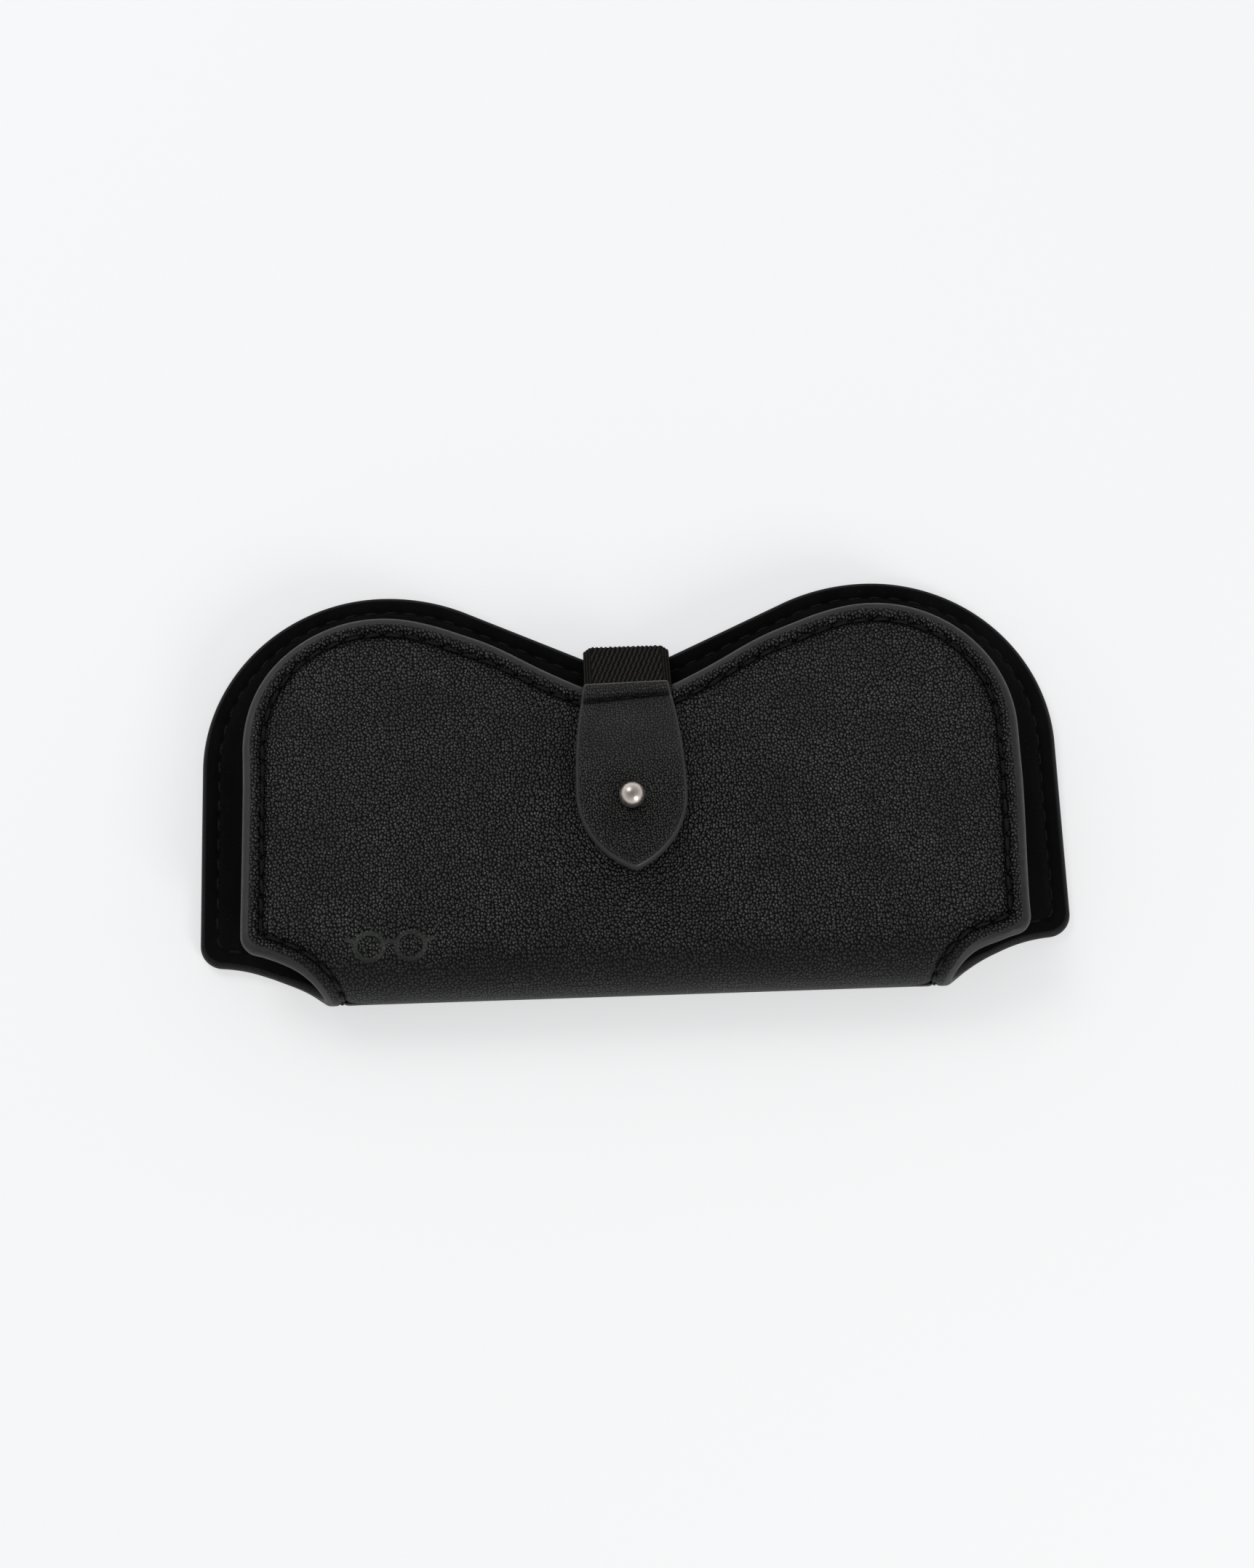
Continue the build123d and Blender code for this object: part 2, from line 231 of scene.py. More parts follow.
def ring(side, gap, density=2.0):
    """One line round half of the sheet, this far inside its edge, from the fold on the right to the fold on
    the left, as x and run. Every ring has as many points as the others, so that neighbours join in quads."""
    inset = side.margin + gap
    corner = side.corner * np.exp(-gap / corner_decay)
    radius = scoop_radius + gap
    share = np.linspace(0, 1, round(11 * density), endpoint=False)
    fold_run = side.arc * share**1.6
    fold_height = fold_radius - fold_radius * np.cos(fold_run / fold_radius)
    squeezed = gap * (1 - 0.225 * np.cos(fold_run / fold_radius) ** 2)
    fold = np.column_stack([scoop_x(fold_height, squeezed), fold_run])

    start_x = scoop_x(side.start, gap)
    start_angle = np.arctan2(side.start - scoop_centre[1], start_x - scoop_centre[0])
    edge_x = half_width - inset
    corner_x = edge_x - corner
    corner_y = scoop_centre[1] + sqrt((radius + corner) ** 2 - (corner_x - scoop_centre[0]) ** 2)
    corner_angle = np.arctan2(corner_y - scoop_centre[1], corner_x - scoop_centre[0])
    notch = notch_radius + inset
    hump_end = pi / 2 + flank
    hump = hump_radius - inset
    hump_last = (hump_centre[0] + hump * cos(hump_end), hump_centre[1] + hump * sin(hump_end))
    middle = notch_centre + side.notch_rise
    notch_first = (notch * sin(flank), middle - notch * cos(flank))
    plan = np.vstack([
        arc_points(scoop_centre, radius, start_angle, corner_angle, round(9 * density)),
        arc_points((corner_x, corner_y), corner, corner_angle - pi, 0, round(6 * density)),
        line_points((edge_x, corner_y), (edge_x, shoulder_centre[1]), round(38 * density)),
        arc_points(shoulder_centre, shoulder_radius - inset, 0, pi / 2, round(50 * density)),
        arc_points(hump_centre, hump, pi / 2, hump_end, round(17 * density)),
        line_points(hump_last, notch_first, round(26 * density)),
        arc_points((0, middle), notch, flank - pi / 2, -pi / 2, round(9 * density)),
        [[0, middle - notch]],
    ])
    plan[:, 1] += side.bulge * hollow(plan[:, 0] - flank_place, 9) * smooth(plan[:, 1], 45, 62)
    plan[:, 1] += side.hump_rise * smooth(plan[:, 0], 30, 48) * smooth(plan[:, 1], 45, 70)
    outline = np.vstack([fold, plan + (0, side.arc - side.start)])
    right, left = settle(outline, **side.right), settle(outline, **side.left)
    return np.vstack([right, left[-2::-1] * (-1, 1)])


# ---- meshes


def inside(points, loop):
    """Which points lie inside a closed loop."""
    x, y = points[:, 0][:, None], points[:, 1][:, None]
    first, second = loop, np.roll(loop, -1, axis=0)
    spans = (first[:, 1] > y) != (second[:, 1] > y)
    rise = np.where(second[:, 1] == first[:, 1], 1e-12, second[:, 1] - first[:, 1])
    crossing = (second[:, 0] - first[:, 0]) * (y - first[:, 1]) / rise + first[:, 0]
    return (spans & (x < crossing)).sum(axis=1) % 2 == 1


def nearest(points, loop):
    """Distance from each point to the closest point of a loop."""
    return np.concatenate([
        np.sqrt(((chunk[:, None, :] - loop[None, :, :]) ** 2).sum(axis=2)).min(axis=1)
        for chunk in np.array_split(points, max(1, len(points) // 2000))
    ])


def hex_grid(low, high, spacing):
    """A staggered grid of points over a rectangle."""
    rows = np.arange(low[1], high[1], spacing * 0.87)
    columns = np.arange(low[0], high[0], spacing)
    shift = (np.arange(len(rows)) % 2) * spacing / 2
    return np.column_stack([(columns[None, :] + shift[:, None]).ravel(), np.repeat(rows, len(columns))])


def triangulate(loops, loose):
    """All the points of a plan, stacked as outline, holes and loose points, and triangles over them."""
    points = np.vstack([*loops, loose])
    edges, base = [], 0
    for loop in loops:
        edges += [(base + i, base + (i + 1) % len(loop)) for i in range(len(loop))]
        base += len(loop)
    found = delaunay_2d_cdt([Vector(p) for p in points], edges, [], 0, 1e-7)
    index = [origins[0] for origins in found[3]]
    faces = np.array([[index[v] for v in face] for face in found[2]])
    centres = points[faces].mean(axis=1)
    keep = inside(centres, loops[0])
    for hole in loops[1:]:
        keep &= ~inside(centres, hole)
    return points, faces[keep]


def lengths_along(path):
    """Distance from the first point of a line to each of its points."""
    return np.concatenate([[0], np.cumsum(np.hypot(*np.diff(path, axis=0).T))])


def circle(centre, radius, count):
    """A closed round loop."""
    return arc_points(centre, radius, 0, 2 * pi, count)


def add_object(name, data):
    """A new object in the scene."""
    made = bpy.data.objects.new(name, data)
    bpy.context.scene.collection.objects.link(made)
    return made


def make_object(name, points, faces, attributes, sharp=40):
    """A smooth-shaded closed mesh with its point attributes."""
    mesh = bpy.data.meshes.new(name)
    mesh.from_pydata(points.tolist(), [], [tuple(int(v) for v in f) for f in faces])
    for label, values in attributes.items():
        kind = "FLOAT_VECTOR" if values.ndim == 2 else "FLOAT"
        slot = "vector" if values.ndim == 2 else "value"
        attribute = mesh.attributes.new(label, kind, "POINT")
        attribute.data.foreach_set(slot, np.ascontiguousarray(values, np.float32).ravel())
    shaped = bmesh.new()
    shaped.from_mesh(mesh)
    bmesh.ops.recalc_face_normals(shaped, faces=shaped.faces)
    shaped.to_mesh(mesh)
    shaped.free()
    mesh.polygons.foreach_set("use_smooth", [True] * len(mesh.polygons))
    mesh.set_sharp_from_angle(angle=radians(sharp))
    return add_object(name, mesh)


def slab(name, plan, faces, top, bottom, put, attributes, flow=1):
    """A closed piece between two lifts over one triangulated plan. Where the lifts are equal the two faces
    meet. flow is -1 where the grain runs on from another piece whose run counts the other way."""
    count = len(plan)
    meets = np.abs(top - bottom) < 1e-6
    lower = np.arange(count) + count
    lower[meets] = np.arange(count)[meets]
    edges = {}
    for face in faces:
        for a, b in zip(face, np.roll(face, -1)):
            key = (min(a, b), max(a, b))
            edges[key] = None if key in edges else (a, b)
    walls = []
    for pair in edges.values():
        if pair is None:
            continue
        a, b = pair
        loop = [b, a, lower[a], lower[b]]
        loop = [v for i, v in enumerate(loop) if v not in loop[:i]]
        if len(loop) > 2:
            walls.append(loop)
    all_faces = [list(f) for f in faces] + [[lower[v] for v in reversed(list(f))] for f in faces] + walls
    points = np.vstack([put(plan[:, 0], plan[:, 1], top), put(plan[:, 0], plan[:, 1], bottom)])
    doubled = {label: np.concatenate([values, values]) for label, values in attributes.items()}
    skin = np.vstack([plan, plan]) * (1, flow)
    doubled["skin"] = np.column_stack([skin, np.concatenate([top, bottom])])
    used = np.unique([v for f in all_faces for v in f])
    renumber = np.full(2 * count, -1)
    renumber[used] = np.arange(len(used))
    all_faces = [[renumber[v] for v in f] for f in all_faces]
    kept = {label: values[used] for label, values in doubled.items()}
    return make_object(name, points[used], all_faces, kept)


def fill(rings, loops, loose, closed):
    """A plan's points and faces, and the points inside its last ring. Quads join the rings, and triangles
    fill the last one. The first loop starts with that ring's points."""
    count, layers = len(rings[0]), len(rings)
    inner, triangles = triangulate(loops, loose)
    lookup = np.arange(len(inner)) + (layers - 1) * count
    faces = []
    for k in range(layers - 1):
        for j in range(count if closed else count - 1):
            a, b = k * count + j, k * count + (j + 1) % count
            faces.append((a, b, b + count, a + count))
    faces += [tuple(lookup[v] for v in face) for face in triangles]
    return np.vstack([*rings, inner[count:]]), faces, inner[count:]


class Plan:
    """Triangulated plan of one half of a folded layer: rings along its edge, then a grid."""

    def __init__(self, side, gaps, spacing, hole=0.0, fine=()):
        rings = [ring(side, gap) for gap in gaps]
        self.side, count, last = side, len(rings[0]), rings[-1]
        # the fold's outermost line
        crest = line_points(last[-1], last[0], round(2 * last[0][0] / spacing))[1:]
        loops = [np.vstack([last, crest])]
        stud = (0.0, side.run(stud_height))
        if hole:
            loops.append(circle(stud, hole, 36))
        low, high = last.min(axis=0), last.max(axis=0)
        loose = hex_grid(low, high, spacing)
        loose = loose[loose[:, 1] > 2.2]
        near_crest = np.concatenate(
            [np.column_stack([crest[:, 0], np.full(len(crest), run)]) for run in (0.12, 0.4, 0.85, 1.5)]
        )
        patches = []
        for low_x, low_run, high_x, high_run, pitch in fine:
            patch = hex_grid((low_x, low_run), (high_x, high_run), pitch)
            patches.append(patch)
            outside = (loose[:, 0] < low_x - 0.4) | (loose[:, 0] > high_x + 0.4)
            outside |= (loose[:, 1] < low_run - 0.4) | (loose[:, 1] > high_run + 0.4)
            loose = loose[outside]
        if hole:
            around = np.hypot(loose[:, 0] - stud[0], loose[:, 1] - stud[1])
            loose = loose[around > hole + 4.6]
            steps = (0.35, 0.8, 1.4, 1.6, 2.1, 2.9, 3.9)
            patches += [circle(stud, hole + step, 36 + round(6 * step)) for step in steps]
        loose = np.vstack([loose, near_crest, *patches])
        loose = loose[inside(loose, loops[0])]
        loose = loose[nearest(loose, last) > 0.45 * min(spacing, 0.9)]
        self.points, self.faces, inner = fill(rings, loops, loose, closed=False)
        beyond = gaps[-1] + nearest(inner, last)
        self.rim = np.concatenate([np.repeat(gaps, count), beyond])
        seam = ring(side, front_row if side is front else back_row)
        along = lengths_along(seam)
        self.seam_length = along[-1]
        self.seam = np.concatenate([np.tile(along, len(gaps)), np.full(len(beyond), stitch_pitch / 2)])

    @property
    def x(self):
        return self.points[:, 0]

    @property
    def height(self):
        """Plan height on the panel, and less than the panel's start on the fold."""
        return self.points[:, 1] - self.side.arc + self.side.start

    def piece(self, name, top, bottom, **attributes):
        """A closed layer over this plan."""
        attributes["rim"] = self.rim
        put = partial(place, self.side)
        return slab(name, self.points, self.faces, top, bottom, put, attributes, self.side.sign)


def needle_holes(plan, row):
    """1 at each needle hole of a seam, and 0 away from it."""
    count = round(plan.seam_length / stitch_pitch)
    phase = plan.seam / plan.seam_length * count
    distance = np.abs(phase - np.round(phase)) * stitch_pitch
    return hollow(distance, 0.7) * hollow(plan.rim - row, 0.55)


def edge_round(rim, width, depth):
    """How far the rounded edge of a layer lies below its face."""
    share = np.clip(1 - rim / width, 0, 1)
    return depth * (1 - np.sqrt(1 - share**2))


# ---- seams


def tubes(name, centres, across, along_values, put):
    """Short threads, one for each row of centres, as closed tubes. across points sideways at each centre."""
    sides = 10
    count, steps = centres.shape[:2]
    share = np.linspace(-1, 1, steps)
    taper = np.sqrt(1 - 0.75 * share**4)
    angles = np.linspace(0, 2 * pi, sides, endpoint=False)
    wide, tall = thread_radius * 1.08, thread_radius * 0.92
    x = centres[..., 0, None] + across[..., 0, None] * wide * np.cos(angles) * taper[None, :, None]
    run = centres[..., 1, None] + across[..., 1, None] * wide * np.cos(angles) * taper[None, :, None]
    lift = centres[..., 2, None] + tall * np.sin(angles) * taper[None, :, None]
    points = put(x.ravel(), run.ravel(), lift.ravel())
    faces = []
    for i in range(count):
        for k in range(steps - 1):
            for j in range(sides):
                a = (i * steps + k) * sides
                b = a + sides
                faces.append((a + j, a + (j + 1) % sides, b + (j + 1) % sides, b + j))
        first, last = i * steps * sides, ((i + 1) * steps - 1) * sides
        faces.append(tuple(first + j for j in reversed(range(sides))))
        faces.append(tuple(last + j for j in range(sides)))
    length = np.repeat(along_values.ravel(), sides)
    round_about = np.tile(angles, count * steps)
    skin = np.column_stack([length, round_about, np.zeros(len(length))])
    return make_object(name, points, faces, {"skin": skin}, sharp=60)


def seam_thread(name, side, row, level, outward):
    """Stitches along a panel's seam. level is the lift of the groove's floor; outward is 1 on the outer face
    and -1 on the inner one."""
    path = ring(side, row)
    lengths = lengths_along(path)
    count = round(lengths[-1] / stitch_pitch)
    pitch = lengths[-1] / count
    share = np.linspace(-1, 1, 9)
    middle = (np.arange(count) + 0.5) * pitch
    wander = chance.normal(0, 0.05, (count, 2))
    at = middle[:, None] + share[None, :] * stitch_length / 2
    x, run = np.interp(at, lengths, path[:, 0]), np.interp(at, lengths, path[:, 1])
    ahead = at + 0.2
    next_x, next_run = np.interp(ahead, lengths, path[:, 0]), np.interp(ahead, lengths, path[:, 1])
    heading = np.stack([next_x - x, next_run - run], axis=-1)
    heading /= np.linalg.norm(heading, axis=-1, keepdims=True) + 1e-9
    across = np.stack([-heading[..., 1], heading[..., 0]], axis=-1)
    slant = wander[:, :1] + wander[:, 1:] * share[None, :] + 0.07 * share[None, :]
    crown = 0.34 * (1 - share**4) - 0.18
    lift = level + outward * (crown[None, :] + chance.normal(0, 0.02, (count, 1)))
    centres = np.stack([x + across[..., 0] * slant, run + across[..., 1] * slant, lift], axis=-1)
    return tubes(name, centres, across, at, partial(place, side))


# ---- node materials


class Shader:
    """A material's nodes, added one by one."""

    def __init__(self, name, **surface):
        self.material = bpy.data.materials.new(name)
        self.material.use_nodes = True
        self.tree = self.material.node_tree
        self.surface = self.tree.nodes["Principled BSDF"]
        self.set(self.surface, surface)

    def set(self, node, inputs):
        for socket, value in inputs.items():
            label = socket.replace("_", " ") if isinstance(socket, str) else socket
            target = node.inputs[label]
            if isinstance(value, bpy.types.NodeSocket):
                self.tree.links.new(value, target)
            else:
                target.default_value = value

    def node(self, kind, inputs=None, **settings):
        made = self.tree.nodes.new("ShaderNode" + kind)
        for label, value in settings.items():
            setattr(made, label, value)
        self.set(made, inputs or {})
        return made

    def attribute(self, name, output="Vector"):
        return self.node("Attribute", attribute_name=name).outputs[output]

    def times(self, first, second):
        return self.math("MULTIPLY", first, second)

    def stretch(self, coords, *factors):
        return self.vector("MULTIPLY", coords, factors)

    def millimetres(self):
        """The point's own place, in millimetres."""
        return self.stretch(self.node("TexCoord").outputs["Object"], 1 / MM, 1 / MM, 1 / MM)

    def math(self, operation, *values):
        return self.node("Math", dict(enumerate(values)), operation=operation).outputs[0]

    def vector(self, operation, *values):
        return self.node("VectorMath", dict(enumerate(values)), operation=operation).outputs["Vector"]

    def noise(self, coords, scale, detail=3.0, roughness=0.55):
        inputs = {"Vector": coords, "Scale": scale, "Detail": detail, "Roughness": roughness}
        return self.node("TexNoise", inputs).outputs["Fac"]

    def cells(self, coords, scale, randomness, feature="F1"):
        inputs = {"Vector": coords, "Scale": scale, "Randomness": randomness}
        return self.node("TexVoronoi", inputs, feature=feature, voronoi_dimensions="2D")

    def ramp(self, value, low, high, out_low=0.0, out_high=1.0, shape="SMOOTHSTEP"):
        inputs = {"Value": value, "From Min": low, "From Max": high, "To Min": out_low, "To Max": out_high}
        return self.node("MapRange", inputs, interpolation_type=shape).outputs["Result"]

    def mix(self, share, first, second):
        made = self.node("Mix", {0: share}, data_type="RGBA")
        self.set(made, {6: first, 7: second})
        return made.outputs[2]

    def blend_values(self, share, first, second):
        return self.node("Mix", {0: share, 2: first, 3: second}, data_type="FLOAT").outputs[0]

    def bump(self, height, distance):
        return self.node("Bump", {"Height": height, "Distance": distance, "Strength": 1.0}).outputs["Normal"]

    def finish(self, **inputs):
        self.set(self.surface, inputs)
        return self.material


def grey(level, warmth=0.0):
    return (level * (1 + warmth), level, level * (1 - warmth), 1.0)


def olive(level):
    """Black leather's faint green cast."""
    return (level * 0.97, level * 1.05, level * 0.96, 1.0)


def leather_material(name, cell, depth, body, dark, paint_width, paint_level, worn_from=200.0):
    """Pebbled leather with painted edges. cell is the size of a pebble and depth of its creases, in
    millimetres. dark is the share of the body colour that the creases keep, as painted shade; the
    pebbles' crowns are painted lighter, as painted highlights. Past worn_from along the skin the
    painted edge is worn brown."""
    shade = Shader(name, Specular_IOR_Level=0.45, IOR=1.5)
    skin = shade.attribute("skin")
    rim, press = shade.attribute("rim", "Fac"), shade.attribute("press", "Fac")
    up_skin = shade.node("SeparateXYZ", {0: skin}).outputs[1]
    valley = shade.ramp(shade.attribute("valley", "Fac"), 0.15, 0.95, 0.0, 0.8)
    at_fold = shade.ramp(shade.math("ABSOLUTE", up_skin), 8.0, 15.0, 1.0, 0.0)
    drift = shade.node("TexNoise", {"Vector": skin, "Scale": 0.9 / cell, "Detail": 2.0}).outputs["Color"]
    drift = shade.vector("SUBTRACT", drift, (0.5, 0.5, 0.5))
    drift = shade.stretch(drift, cell * 0.9, cell * 0.9, 0.0)
    flat = shade.stretch(shade.vector("ADD", skin, drift), 1.0, 0.86, 0.0)
    edge = shade.cells(flat, 1 / cell, 0.9, "DISTANCE_TO_EDGE").outputs["Distance"]
    pebbles = shade.cells(flat, 1 / cell, 0.9)
    dome = pebbles.outputs["Distance"]
    crease = shade.ramp(edge, 0.02, 0.3)
    crown = shade.ramp(dome, 0.0, 0.75, 1.0, 0.0)
    pebble = shade.math("MULTIPLY_ADD", crown, 0.45, shade.times(crease, 0.55))
    wrinkle = shade.noise(skin, 5.5 / cell, 4.0)
    grain = shade.math("MULTIPLY_ADD", wrinkle, 0.22, pebble)
    grain = shade.times(grain, shade.ramp(shade.noise(skin, 0.05, 3.0), 0.3, 0.7, 0.75, 1.15))
    grain = shade.blend_values(shade.ramp(press, 0.2, 0.7, 0.0, 0.85), grain, 0.4)
    grain = shade.blend_values(shade.times(at_fold, 0.7), grain, 0.4)

    painted = shade.ramp(rim, paint_width - 0.12, paint_width + 0.16, 1.0, 0.0)
    strokes = shade.noise(shade.stretch(skin, 0.5, 0.5, 2.0), 1.4, 3.0)
    height = shade.blend_values(painted, grain, shade.times(strokes, 0.35))
    normal = shade.bump(height, depth * MM)

    tone = shade.ramp(shade.noise(skin, 0.09, 4.0), 0.3, 0.7)
    hide = shade.mix(tone, olive(body * 0.72), olive(body * 1.28))
    chip = shade.node("SeparateColor", {0: pebbles.outputs["Color"]}).outputs[0]
    # Painted highlight and shade: each pebble is painted lighter towards its crown and nearly black in its
    # creases. The crowns' brightness also varies at random from pebble to pebble and in patches.
    lit = shade.math("POWER", shade.ramp(dome, 0.0, 0.58, 1.0, 0.0), 1.5)
    lit = shade.times(lit, shade.ramp(chip, 0.0, 1.0, 0.4, 1.0, "LINEAR"))
    lit = shade.times(lit, shade.ramp(shade.noise(skin, 0.8 / cell, 2.0), 0.34, 0.62, 0.4, 1.0))
    even = shade.ramp(up_skin, worn_from - 24, worn_from - 8, 0.0, 0.4)
    even = shade.math("MAXIMUM", even, shade.ramp(press, 0.2, 0.7, 0.0, 0.9))
    lit = shade.blend_values(even, lit, 0.3)
    hide = shade.mix(lit, grey(body * dark), hide)
    # Painted shade: towards the fold the leather is painted darker, fully so within 8 mm of it.
    hide = shade.mix(shade.times(at_fold, 0.7), hide, grey(body * 0.07))
    # Painted shade: the seam's groove is painted as dark as the creases.
    hide = shade.mix(valley, hide, grey(body * dark))
    # Painted shade on reflections: the specular tint turns the reflection almost off in the creases.
    glint = shade.mix(shade.ramp(edge, 0.03, 0.3), grey(0.02), grey(1.0))
    overrun = shade.ramp(rim, paint_width + 0.1, paint_width + 1.4, 0.35, 0.0)
    hide = shade.mix(overrun, hide, grey(paint_level * 0.8))
    thin, thick = grey(paint_level * 0.88, 0.02), grey(paint_level * 1.12, 0.03)
    colour = shade.mix(shade.ramp(strokes, 0.3, 0.7), thin, thick)
    worn = shade.ramp(up_skin, worn_from, worn_from + 0.3)
    colour = shade.mix(worn, colour, (paint_level * 1.3, paint_level, paint_level * 0.82, 1.0))
    colour = shade.mix(painted, hide, colour)
    rough = shade.ramp(wrinkle, 0.3, 0.7, 0.24, 0.36)
    rough = shade.blend_values(painted, rough, shade.ramp(strokes, 0.3, 0.7, 0.42, 0.55))
    rough = shade.blend_values(shade.times(at_fold, 0.8), rough, 0.62)
    # Painted shade on reflections: the reflection is turned down in the seam's groove and towards the fold,
    # while the painted edge keeps all of it.
    glint = shade.mix(shade.math("MAXIMUM", valley, shade.times(at_fold, 0.6)), glint, grey(0.05))
    glint = shade.mix(painted, glint, grey(1.0))
    return shade.finish(Base_Color=colour, Roughness=rough, Specular_Tint=glint, Normal=normal)


def suede_material():
    """Microsuede lining: a matt nap with brushed patches and a few specks of lint."""
    shade = Shader("microsuede", Specular_IOR_Level=0.12, Sheen_Weight=0.1, Sheen_Roughness=0.45)
    shade.surface.inputs["Sheen Tint"].default_value = (0.55, 0.55, 0.6, 1.0)
    skin, rim = shade.attribute("skin"), shade.attribute("rim", "Fac")
    nap = shade.noise(skin, 5.0, 6.0, 0.75)
    patches = shade.ramp(shade.noise(shade.stretch(skin, 1.0, 0.35, 1.0), 0.16, 4.0), 0.35, 0.65)
    body = shade.mix(patches, grey(0.0028), grey(0.0058, 0.03))
    body = shade.mix(shade.ramp(nap, 0.45, 0.75), body, grey(0.011, 0.03))
    cells = shade.cells(skin, 0.42, 1.0)
    number = shade.node("SeparateColor", {0: cells.outputs["Color"]}).outputs[0]
    chosen = shade.math("GREATER_THAN", number, 0.8)
    speck = shade.ramp(cells.outputs["Distance"], 0.02, 0.05, 1.0, 0.0)
    body = shade.mix(shade.times(speck, chosen), body, (0.05, 0.035, 0.03, 1.0))
    painted = shade.ramp(rim, 0.75, 1.0, 1.0, 0.0)
    strokes = shade.noise(skin, 1.6, 3.0)
    paint = shade.mix(shade.ramp(strokes, 0.3, 0.7), grey(0.012), grey(0.02, 0.02))
    height = shade.blend_values(painted, nap, shade.times(strokes, 0.3))
    rough = shade.blend_values(painted, 1.0, 0.5)
    normal = shade.bump(height, 0.12 * MM)
    return shade.finish(Base_Color=shade.mix(painted, body, paint), Roughness=rough, Normal=normal)


def thread_material():
    """Waxed three-ply thread: its plies wind round it."""
    shade = Shader("waxed_thread", Specular_IOR_Level=0.22, Sheen_Weight=0.04)
    skin = shade.node("SeparateXYZ", {0: shade.attribute("skin")})
    wind = shade.math("MULTIPLY_ADD", skin.outputs[0], 5.5, shade.times(skin.outputs[1], 3.0))
    ply = shade.math("ABSOLUTE", shade.math("SINE", shade.times(wind, 0.5)))
    fibre = shade.noise(shade.attribute("skin"), 9.0, 3.0)
    height = shade.math("MULTIPLY_ADD", fibre, 0.3, ply)
    # Painted shade: the thread is painted darker in the grooves between its plies.
    colour = shade.mix(shade.ramp(ply, 0.1, 0.8), grey(0.0015), grey(0.0065, 0.02))
    rough = shade.ramp(fibre, 0.2, 0.8, 0.45, 0.7)
    return shade.finish(Base_Color=colour, Roughness=rough, Normal=shade.bump(height, 0.09 * MM))


def elastic_material():
    """Woven elastic: fine yarns across the ribs that the mesh carries."""
    shade = Shader("woven_elastic", Specular_IOR_Level=0.06, Sheen_Weight=0.0, Sheen_Roughness=0.5)
    skin, rib = shade.attribute("skin"), shade.attribute("rib", "Fac")
    split = shade.node("SeparateXYZ", {0: skin})
    slant = shade.times(split.outputs[0], -9.0)
    yarn = shade.math("SINE", shade.math("MULTIPLY_ADD", split.outputs[1], 26.0, slant))
    fuzz = shade.noise(skin, 7.0, 5.0, 0.7)
    height = shade.math("MULTIPLY_ADD", yarn, 0.35, fuzz)
    # Painted shade: the weave is painted nearly black in the gaps between its ribs and loops.
    colour = shade.mix(shade.ramp(rib, 0.25, 0.9), grey(0.0004), (0.105, 0.092, 0.08, 1.0))
    colour = shade.mix(shade.ramp(fuzz, 0.5, 0.8, 0.0, 0.5), colour, grey(0.015, 0.03))
    rough = shade.ramp(fuzz, 0.3, 0.7, 0.6, 0.85)
    return shade.finish(Base_Color=colour, Roughness=rough, Normal=shade.bump(height, 0.05 * MM))


def board_material():
    """Grey bookbinder's board: pressed fibres."""
    shade = Shader("pressed_board", Specular_IOR_Level=0.2)
    fibre = shade.noise(shade.stretch(shade.millimetres(), 1.0, 0.25, 1.0), 1.1, 6.0, 0.7)
    colour = shade.mix(fibre, (0.2, 0.18, 0.15, 1.0), (0.42, 0.39, 0.34, 1.0))
    rough = shade.ramp(fibre, 0.2, 0.8, 0.7, 0.95)
    return shade.finish(Base_Color=colour, Roughness=rough, Normal=shade.bump(fibre, 0.05 * MM))


def nickel_material():
    """Polished nickel with faint smears and hairline scratches."""
    shade = Shader("polished_nickel", Metallic=1.0)
    at = shade.millimetres()
    smear = shade.noise(at, 0.7, 4.0)
    scratch = shade.noise(shade.stretch(at, 1.0, 14.0, 1.0), 1.5, 3.0, 0.6)
    colour = shade.mix(smear, (0.74, 0.6, 0.52, 1.0), (0.97, 0.93, 0.9, 1.0))
    rough = shade.ramp(smear, 0.3, 0.7, 0.26, 0.38)
    return shade.finish(Base_Color=colour, Roughness=rough, Normal=shade.bump(scratch, 0.004 * MM))


materials = {
    "leather": leather_material(
        "pebbled_leather", cell=0.58, depth=0.3, body=0.2, dark=0.012, paint_width=1.6, paint_level=0.032
    ),
    "tab_leather": leather_material(
        "fine_leather",
        cell=0.48,
        depth=0.22,
        body=0.155,
        dark=0.03,
        paint_width=0.5,
        paint_level=0.055,
        worn_from=tab_top_height - 0.55,
    ),
    "lining": suede_material(),
    "board": board_material(),
    "thread": thread_material(),
    "elastic": elastic_material(),
    "nickel": nickel_material(),
}


def dress(piece, slot):
    """Gives a piece the material of its slot."""
    piece.data.materials.clear()
    piece.data.materials.append(materials[slot])
    return piece


def bend_front(piece):
    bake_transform(piece)


def bend_back(piece):
    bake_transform(piece)


# ---- front and back leather

mark_x, mark_height = -46.5, 8.9
mark_lens, mark_spread = 2.7, 3.9
mark_depth = 0.4


def pressed(x, height):
    """A small pressed picture of a pair of glasses, 1 in the middle of its lines."""
    u, v = np.abs(x - mark_x), height - mark_height
    lens = np.abs(np.hypot(u - mark_spread, v) - mark_lens)
    bridge = np.abs(np.hypot(u, v + 0.9) - 1.9) + np.where(v > -0.1, 0, 5)
    arm_along = np.clip(u, mark_spread + mark_lens, mark_spread + mark_lens + 1.6)
    arm = np.hypot(u - arm_along, v - 0.9 - 0.35 * (arm_along - mark_spread - mark_lens))
    return hollow(np.minimum(np.minimum(lens, bridge), arm), 0.5)


